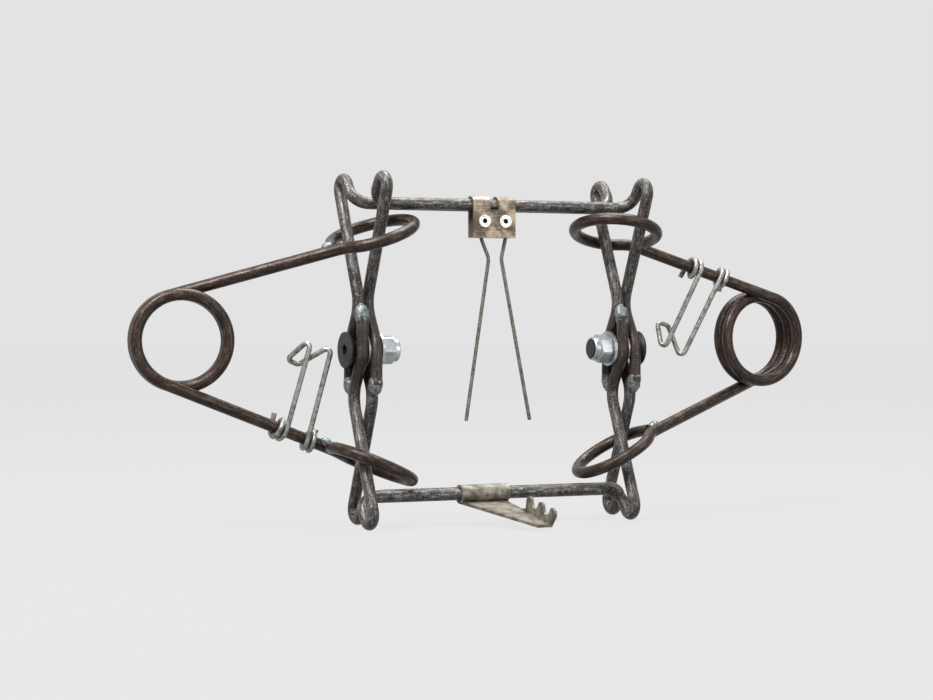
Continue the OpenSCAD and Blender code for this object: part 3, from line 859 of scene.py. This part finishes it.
@dataclass
class TorsionSpring:
    """One double-arm spring: a coil, and two arms that end in rings round the frame."""

    side: Side
    upper: RingPose
    lower: RingPose
    pivot_x: float
    turn: float
    wire_d: float = 6.35
    coil_reach: float = 95.0
    coil_z: float = 5.0
    coil_r: float = 23.9
    coil_turns: int = 2
    coil_pitch: float = 6.85
    ring_r: float = 22.6
    ring_shift: float = 4.9
    join_angle: float = 148.0
    join_step: float = 28.0
    join_r: float = 9.0
    ring_end: float = -175.0
    hidden_arc: float = 38.0
    hidden_steps: int = 12
    hidden_slim: float = 0.06
    coil_step: float = 4.0
    ring_steps: int = 120
    step: float = 1.1
    passes: int = 6
    sides: int = 28
    cut: float = 0.45
    coil_cut: float = 0.02
    flex_share: float = 0.3
    bead_sizes: Triple = (3.6, 2.9, 2.4)
    bead_out: float = 2.2
    bead_along: float = 2.0
    place: Matrix = field(init=False)

    def __post_init__(self) -> None:
        """Works out where the spring's own axes lie in the trap."""
        self.place = (Matrix.Translation((self.pivot_x, 0, 0))
                      @ Matrix.Rotation(radians(self.turn), 4, "Z"))

    def ring_axes(self, level: Level) -> tuple[Vector, Vector, Vector]:
        """How a ring lies.

        Args:
            level: Which of the two rings.

        Returns:
            The ring's middle, the direction ahead and the direction across.
        """
        pose, up = self.upper if level is Level.UPPER else self.lower, level.value
        slope, tilt = radians(pose.slope), radians(pose.tilt)
        ahead = Vector((-cos(slope), 0, up * sin(slope)))
        across = Vector((-up * sin(tilt) * ahead.z, up * cos(tilt),
                         up * sin(tilt) * ahead.x))
        return Vector((-self.ring_shift, -pose.front, pose.z)), ahead, across

    def join(self, level: Level) -> Vector:
        """The point where the arm meets its ring."""
        centre, ahead, across = self.ring_axes(level)
        return arc(centre, ahead, across, self.ring_r, self.join_angle, self.join_angle, 1)[0]

    def slope(self, level: Level) -> float:
        """How steeply a straight arm rises to touch the coil.

        Args:
            level: Which of the two arms.

        Returns:
            The slope in degrees.
        """
        point = self.join(level)
        run, rise = self.coil_reach - point.x, level.value * (point.z - self.coil_z)
        return degrees(atan2(rise, run) - asin(self.coil_r / hypot(run, rise)))

    @property
    def sweep(self) -> float:
        """The whole turn of the coil from arm to arm, in degrees."""
        return 180 - self.slope(Level.UPPER) - self.slope(Level.LOWER) + 360 * self.coil_turns

    def on_coil(self, share: float) -> Vector:
        """A point on the coil's centre line.

        Args:
            share: How far along the coil, from the upper arm (0) to the lower one (1).

        Returns:
            The point in mm, in the spring's own axes.
        """
        a = radians(90 - self.slope(Level.UPPER) - self.sweep * share)
        return Vector((self.coil_reach + self.coil_r * cos(a),
                       self.coil_pitch * self.sweep / 360 * (share - 0.5),
                       self.coil_z + self.coil_r * sin(a)))

    def coil(self) -> Route:
        """The coil's centre line."""
        steps = round(self.sweep / self.coil_step)
        return [self.on_coil(i / steps) for i in range(steps + 1)]

    def coil_end(self, level: Level) -> float:
        """The share of the coil at which an arm leaves it."""
        return 0.0 if level is Level.UPPER else 1.0

    def arm(self, level: Level) -> tuple[Route, int]:
        """An arm and its ring, led by an arc that lies hidden in the coil.

        Args:
            level: Which of the two arms.

        Returns:
            The centre line, and how many of its points lie in the coil.
        """
        end, span = self.coil_end(level), self.hidden_arc / self.sweep * level.value
        lead = [self.on_coil(end + span * (1 - i / self.hidden_steps))
                for i in range(self.hidden_steps)]
        centre, ahead, across = self.ring_axes(level)
        ring = arc(centre, ahead, across, self.ring_r, self.join_angle - self.join_step,
                   self.ring_end, self.ring_steps)
        exit_point = self.on_coil(end)
        elbow = bend(exit_point, self.join(level), ring[0], self.join_r)
        tail = ring[-1] + self.wire_d * (ring[-1] - ring[-2]).normalized()
        shaped = evened([exit_point, *elbow, *ring, tail], self.step, self.passes)
        return [*lead, *shaped], len(lead)

    def arm_line(self, level: Level) -> tuple[Vector, Vector]:
        """A point on the straight arm at the join, and the arm's direction towards the coil."""
        near = self.join(level)
        return near, (self.on_coil(self.coil_end(level)) - near).normalized()

    def build_arm(self, level: Level) -> Vector:
        """Makes one arm with its ring, led by a hidden arc in the coil.

        Args:
            level: Which of the two arms.

        Returns:
            The tip of its centre line, in the spring's own axes.
        """
        side, radius = self.side.value, self.wire_d / 2
        route, hidden = self.arm(level)
        radii = [radius - self.hidden_slim] * hidden + [radius] * (len(route) - hidden)
        arm = wire(f"arm_{side}_{level.word}", turned(route, self.place), self.wire_d, self.sides,
                   self.cut, radii)
        start, end = self.on_coil(self.coil_end(level)), self.join(level)
        bend_piece(arm, SPRING_WIRE, (f"spring_{side}", f"{side}_{level.word}_end"))
        return route[-1]

    def build_bead(self, level: Level, tip: Vector) -> None:
        """Makes the weld between a ring's end and its arm.

        Args:
            level: Which of the two arms.
            tip: The ring's end, in the spring's own axes.
        """
        side, (near, along) = self.side.value, self.arm_line(level)
        beside = near + along * (tip - near).dot(along)
        inward = (beside - tip).normalized()
        out = along.cross(beside - tip).normalized() * level.value
        axes = [self.place.to_3x3() @ v for v in (along, inward, out)]
        centre = self.place @ ((tip + beside) / 2 + out * self.bead_out + along * self.bead_along)
        bead = WeldBead(f"ring_bead_{side}_{level.word}", centre, axes, self.bead_sizes,
                        len(side) + level.value).build()
        finish_piece(bead, WELD, f"{side}_{level.word}_end", f"end_weld_{side}_{level.word}")

    def build(self) -> None:
        """Makes the coil, both arms and the welds at the ring ends."""
        side = self.side.value
        coil = wire(f"coil_{side}", turned(self.coil(), self.place), self.wire_d, self.sides,
                    self.coil_cut)
        finish_piece(coil, SPRING_WIRE, f"spring_{side}", f"spring_{side}")
        for level in Level:
            self.build_bead(level, self.build_arm(level))


@dataclass
class SafetyHook:
    """A bent wire hook that turns on a spring arm by two wound eyelets."""

    spring: TorsionSpring
    level: Level
    at: float
    lean: int
    turn: float
    wire_d: float = 2.8
    clear: float = 0.4
    leg: float = 51.0
    width: float = 12.0
    eye_pitch: float = 18.0
    eye_turns: float = 1.5
    eye_gap: float = 0.6
    eye_steps: int = 66
    back: float = 20.0
    pinch: float = 5.0
    bend_r: float = 2.2
    bend_step: float = 8.0
    tail: float = 7.0
    tail_out: float = 1.2
    leg_lean: float = 6.0
    lean_x: float = 0.4
    lean_y: float = 0.45
    step: float = 0.45
    passes: int = 3
    sides: int = 20
    cut: float = 0.3

    @property
    def eye_r(self) -> float:
        """Radius of an eyelet at the wire's centre line."""
        return (self.spring.wire_d + self.wire_d) / 2 + self.clear

    def eyelet(self, s: int) -> Route:
        """One eyelet, wound round the spring arm.

        Args:
            s: Its side, -1 or 1.

        Returns:
            The eyelet's centre line, from the stub's side to the leg's.
        """
        r, pitch, points = self.eye_r, self.wire_d + self.eye_gap, []
        for i in range(self.eye_steps + 1):
            turns = self.eye_turns * i / self.eye_steps
            a = radians(180 + 360 * turns)
            points.append(Vector((s * (self.eye_pitch / 2 + pitch * (self.eye_turns / 2 - turns)),
                                  r * cos(a), r * sin(a))))
        return points

    def half(self, s: int) -> Route:
        """One eyelet with its leg and its bent-back end.

        Args:
            s: Its side, -1 or 1.

        Returns:
            The centre line from the stub to the bent-back end.
        """
        eyelet = self.eyelet(s)
        top = Vector((s * self.width / 2 + self.lean * self.leg_lean, self.eye_r, self.leg))
        drop = sqrt(1 - self.lean_x ** 2 - self.lean_y ** 2)
        end = (top + self.back * Vector((self.lean * self.lean_x, -self.lean_y, -drop))
               - Vector((s * self.width / self.pinch, 0, 0)))
        stub = eyelet[0] + Vector((s * self.tail_out, 0, self.tail))
        return [stub, *eyelet, *bend(eyelet[-1], top, end, self.bend_r, self.bend_step), end]

    def route(self) -> Route:
        """The whole wire from stub to stub.

        Returns:
            The hook's centre line.
        """
        a, b = self.half(-1), self.half(1)
        nose = [*bend(a[-2], a[-1], b[-1], self.bend_r, self.bend_step),
                *bend(a[-1], b[-1], b[-2], self.bend_r, self.bend_step)]
        return evened([*a[:-1], *nose, *reversed(b[:-1])], self.step, self.passes)

    def build(self) -> None:
        """Makes the hook on its arm."""
        up = self.level.value
        near, ex = self.spring.arm_line(self.level)
        ez = ex.cross(Vector((0, -up, 0))).normalized()
        ey = ez.cross(ex)
        origin = near + ex * ((self.at - near.x) / ex.x)
        own = Matrix((ex, ey, ez)).transposed().to_4x4()
        own.translation = origin
        place = self.spring.place @ own @ Matrix.Rotation(radians(self.turn), 4, "X")
        side = self.spring.side.value
        hook = wire(f"hook_{side}", turned(self.route(), place), self.wire_d, self.sides, self.cut)
        finish_piece(hook, HOOK_WIRE, f"hook_{side}", f"safety_hook_{side}")


@dataclass
class Trigger:
    """The two trigger wires, looped round the rivets of the plate on the front upper bar."""

    frames: RodFrames
    x: float = -5.0
    rivet_pitch: float = 12.4
    rivet_z: float = -8.6
    rivet_d: float = 3.6
    run_gap: float = 0.3
    back_y: float = 1.3
    curl_r: float = 3.475
    wire_d: float = 2.0
    loop_start: float = 250.0
    loop_steps: int = 50
    neck: Pair = (6.9, -19.0)
    knee: Pair = (3.7, -28.5)
    knee_r: float = 6.0
    spread: float = 38.0
    drop: float = 115.0
    lean: float = 3.7
    step: float = 0.7
    passes: int = 3
    sides: int = 16
    cut: float = 0.2

    def route(self, s: int) -> Route:
        """One wire, looped round its rivet.

        Args:
            s: Its side, -1 for the left one and 1 for the right one.

        Returns:
            The wire's centre line, from the bar's middle.
        """
        y = (self.back_y - self.curl_r) / 2
        loop_r = self.rivet_d / 2 + self.run_gap + self.wire_d / 2
        centre = Vector((s * self.rivet_pitch / 2, y, self.rivet_z))
        loop = arc(centre, X_AXIS * s, Z_AXIS, loop_r, self.loop_start, 0, self.loop_steps)
        neck = Vector((s * self.neck[0] + self.lean / 4, y, self.neck[1]))
        knee = Vector((s * self.knee[0] + self.lean / 2, y, self.knee[1]))
        end = Vector((s * self.spread / 2 + self.lean, y, -self.drop))
        below = [neck, *bend(neck, knee, end, self.knee_r), end]
        return evened([*loop, *below], self.step, self.passes)

    def build(self) -> None:
        """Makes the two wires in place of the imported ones."""
        bar = Matrix.Translation((self.x, -self.frames.bar_y, self.frames.bar_z))
        for s, side in ((-1, "left"), (1, "right")):
            strand = wire(f"trigger_strand_{side}", turned(self.route(s), bar), self.wire_d,
                          self.sides, self.cut)
            finish_piece(strand, TRIGGER_WIRE, "trigger", f"trigger_wire_{side}")


@dataclass
class LockNut:
    """A nylon lock nut: chamfered hexagon, and a collar rolled over its nylon ring."""

    side: Side
    corner: float
    seat_x: float = 68.6
    flat_r: float = 7.15
    corner_r: float = 7.95
    bore_r: float = 4.7
    lip_r: float = 5.25
    collar_r: float = 6.3
    hex_h: float = 7.3
    height: float = 10.2
    roll_r: float = 0.7
    roll_step: int = 15
    crown_out: float = 0.05
    crown_step: Pair = (0.15, 0.26)
    crown_rows: int = 6
    lip_edge: float = 0.12
    lip_h: float = 0.65
    chamfer: tuple[Pair, ...] = ((0.0, 6.9), (0.15, 7.25), (0.3, 7.6))
    chamfer_h: float = 0.45
    steps: int = 144
    seam: float = 0.001
    sharp: float = 20.0

    def stations(self) -> list[Pair]:
        """The nut's section, once round.

        Returns:
            Distances from the seat, each with the largest radius there.
        """
        seat = [(0.0, self.bore_r), *self.chamfer, (self.chamfer_h, self.corner_r)]
        crown = [(self.hex_h - self.crown_step[0] * k,
                  self.collar_r + self.crown_out + self.crown_step[1] * k)
                 for k in range(self.crown_rows, -1, -1)]
        roll = [(self.height - self.roll_r * (1 - sin(radians(a))),
                 self.collar_r - self.roll_r * (1 - cos(radians(a))))
                for a in range(0, 91, self.roll_step)]
        end = [(self.height, self.lip_r + self.lip_edge), (self.height - self.lip_edge, self.lip_r),
               (self.height - self.lip_h, self.lip_r), (self.height - self.lip_h, self.bore_r)]
        return [*seat, *crown, *roll, *end]

    def radius(self, turn: float, largest: float) -> float:
        """The section's radius at a turn in degrees from a corner."""
        return min(self.flat_r / cos(radians(turn % 60 - 30)), largest)

    def build(self) -> None:
        """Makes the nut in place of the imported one."""
        side, sign = self.side.value, -1 if self.side is Side.LEFT else 1
        rows, verts = self.stations(), []
        for reach, largest in rows:
            for k in range(self.steps):
                turn = 360 * k / self.steps
                a, r = radians(turn + self.corner), self.radius(turn, largest)
                verts.append(Vector((sign * (self.seat_x - reach), -r * cos(a),
                                     r * sin(a))))
        nut = new_mesh(f"nut_{side}", verts, band_faces(len(rows), self.steps, closed=True))
        merge(nut, self.seam)
        nut.data.set_sharp_from_angle(angle=radians(self.sharp))
        finish_piece(nut, NUT_ZINC, f"pivot_{side}", f"lock_nut_{side}")


class Hardware:
    """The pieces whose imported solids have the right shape: they only get their finish."""

    FINISHES = {SCREW_BLACK: ("pivot_screw_left", "pivot_screw_right"),
                NUT_ZINC: ("nut_washer_left", "nut_washer_right"),
                NYLON: ("nut_ring_left", "nut_ring_right"),
                SPACER_ZINC: ("spacer_left", "spacer_right"),
                TRIGGER_SHEET: ("trigger_plate",), RIVET_ZINC: ("trigger_rivets",),
                DOG_SHEET: ("dog",)}

    def build(self, nodes: dict[str, Piece]) -> None:
        """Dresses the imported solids.

        Args:
            nodes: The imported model's node objects by name.
        """
        for finish, names in self.FINISHES.items():
            finish.dress(*[nodes[name] for name in names])
            LOG.info("%s on %s", finish.name, ", ".join(names))


# The studio


@dataclass(frozen=True)
class Softbox:
    """A square soft lamp: its place in mm, its side in metres and its power in watts."""

    name: str
    place: Triple
    size: float
    power: float


@dataclass
class Studio:
    """A pale floor and air, soft lamps and the camera at the photograph's angle."""

    LAMPS = (Softbox("key", (-500, -800, 1200), 0.7, 42),
             Softbox("fill", (1100, -900, 300), 0.8, 6), Softbox("top", (200, 300, 1300), 0.8, 30))

    floor_z: float = -93.3
    floor_r: float = 9000.0
    floor_steps: int = 96
    paper: str = "#f1f1f1"
    bounce: str = "#6a6a6a"
    glow_share: float = 0.86
    backdrop: str = "#e3e3e3"
    air_light: str = "#dcdcdc"
    air_strength: float = 0.12
    azimuth: float = -25.9
    elevation: float = 0.69
    distance: float = 1290.0
    focal_px: float = 2400.0
    image_px: float = 933.0
    sensor: float = 36.0
    near_clip: float = 0.05
    slide_x: float = -15.6
    slide_z: float = -0.44

    def seen_rays(self, tree: Tree) -> Node:
        """A switch for the rays that show a surface by sight, reflection or refraction.

        Args:
            tree: The nodes of a material or world.

        Returns:
            A node that gives 1 for these rays, else 0.
        """
        rays = add(tree, "LightPath")
        seen = calc(tree, "MAXIMUM", rays.outputs["Is Camera Ray"], rays.outputs["Is Glossy Ray"])
        return calc(tree, "MAXIMUM", seen, rays.outputs["Is Transmission Ray"])

    def paper_material(self) -> bpy.types.Material:
        """Matte paper that shows its own colour, and keeps the object's shadow.

        Returns:
            The material.
        """
        material = bpy.data.materials.new("matte_paper")
        tree = cleared(material)
        share = calc(tree, "MULTIPLY", self.seen_rays(tree), self.glow_share)
        matte = add(tree, "BsdfDiffuse", {"Color": self.bounce})
        glow = add(tree, "Emission", {"Color": self.paper, "Strength": 1.0})
        both = add(tree, "MixShader", {0: share, 1: matte, 2: glow})
        add(tree, "OutputMaterial", {"Surface": both})
        return material

    def floor(self) -> None:
        """A round paper floor, large enough to reach the horizon of any view."""
        turns = [2 * pi * i / self.floor_steps for i in range(self.floor_steps)]
        verts = [Vector((self.floor_r * cos(a), self.floor_r * sin(a), self.floor_z))
                 for a in turns]
        paper = new_mesh("paper_floor", verts, [tuple(range(self.floor_steps))])
        paper.data.materials.append(self.paper_material())

    def air(self) -> bpy.types.World:
        """Dim soft light from all round, and a pale background where it is seen.

        Returns:
            The world.
        """
        world = bpy.data.worlds.new("studio_air")
        tree = cleared(world)
        soft = add(tree, "Background", {"Color": self.air_light, "Strength": self.air_strength})
        pale = add(tree, "Background", {"Color": self.backdrop, "Strength": 1.0})
        both = add(tree, "MixShader", {0: self.seen_rays(tree), 1: soft, 2: pale})
        add(tree, "OutputWorld", {"Surface": both})
        return world

    def lamp(self, box: Softbox, turn: Matrix) -> None:
        """Hangs a softbox and aims it at the trap's middle.

        Args:
            box: The lamp, placed as seen from the camera's side.
            turn: The turn of that side about the upright axis.
        """
        light = bpy.data.lights.new(box.name, "AREA")
        light.energy, light.size = box.power, box.size
        lamp, place = bpy.data.objects.new(box.name, light), turn @ Vector(box.place)
        lamp.location = place * MM
        lamp.rotation_euler = (-place).to_track_quat("-Z", "Y").to_euler()
        bpy.context.scene.collection.objects.link(lamp)

    def camera(self) -> None:
        """The camera, placed by the fitted view."""
        a, e = radians(self.azimuth), radians(self.elevation)
        look = Vector((-sin(a) * cos(e), cos(a) * cos(e), -sin(e)))
        right = Vector((cos(a), sin(a), 0))
        up = right.cross(look)
        data = bpy.data.cameras.new("camera")
        data.lens, data.sensor_width = self.focal_px * self.sensor / self.image_px, self.sensor
        data.clip_start = self.near_clip
        camera = bpy.data.objects.new("camera", data)
        camera.matrix_world = Matrix((right, up, -look)).transposed().to_4x4()
        camera.location = (-self.distance * look + self.slide_x * right + self.slide_z * up) * MM
        bpy.context.scene.collection.objects.link(camera)
        bpy.context.scene.camera = camera

    def build(self) -> None:
        """Sets up the whole studio."""
        self.floor()
        turn = Matrix.Rotation(radians(self.azimuth), 3, "Z")
        for box in self.LAMPS:
            self.lamp(box, turn)
        bpy.context.scene.world = self.air()
        bpy.context.scene.view_settings.view_transform = "Standard"
        self.camera()


def main() -> None:
    """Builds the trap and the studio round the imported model."""
    logging.basicConfig(level=logging.INFO, format="%(name)s: %(message)s")
    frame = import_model()
    frames = RodFrames()
    frames.build()
    springs = {
        Side.LEFT: TorsionSpring(Side.LEFT, upper=RingPose(z=60.8, slope=17, tilt=12),
                                 lower=RingPose(z=-59.9, slope=23, tilt=-4),
                                 pivot_x=-77.5, turn=167.0),
        Side.RIGHT: TorsionSpring(Side.RIGHT, upper=RingPose(z=64.0, slope=12, tilt=12, front=1.5),
                                  lower=RingPose(z=-56.8, slope=29, tilt=6),
                                  pivot_x=77.5, turn=6.0),
    }
    for spring in springs.values():
        spring.build()
    SafetyHook(springs[Side.LEFT], Level.LOWER, at=35.5, lean=1, turn=0.0).build()
    SafetyHook(springs[Side.RIGHT], Level.UPPER, at=60.0, lean=-1, turn=10.0).build()
    Trigger(frames).build()
    LockNut(Side.LEFT, corner=-7.5).build()
    LockNut(Side.RIGHT, corner=-16.0).build()
    Hardware().build(frame["nodes"])
    Studio().build()


if __name__ == "__main__":
    main()
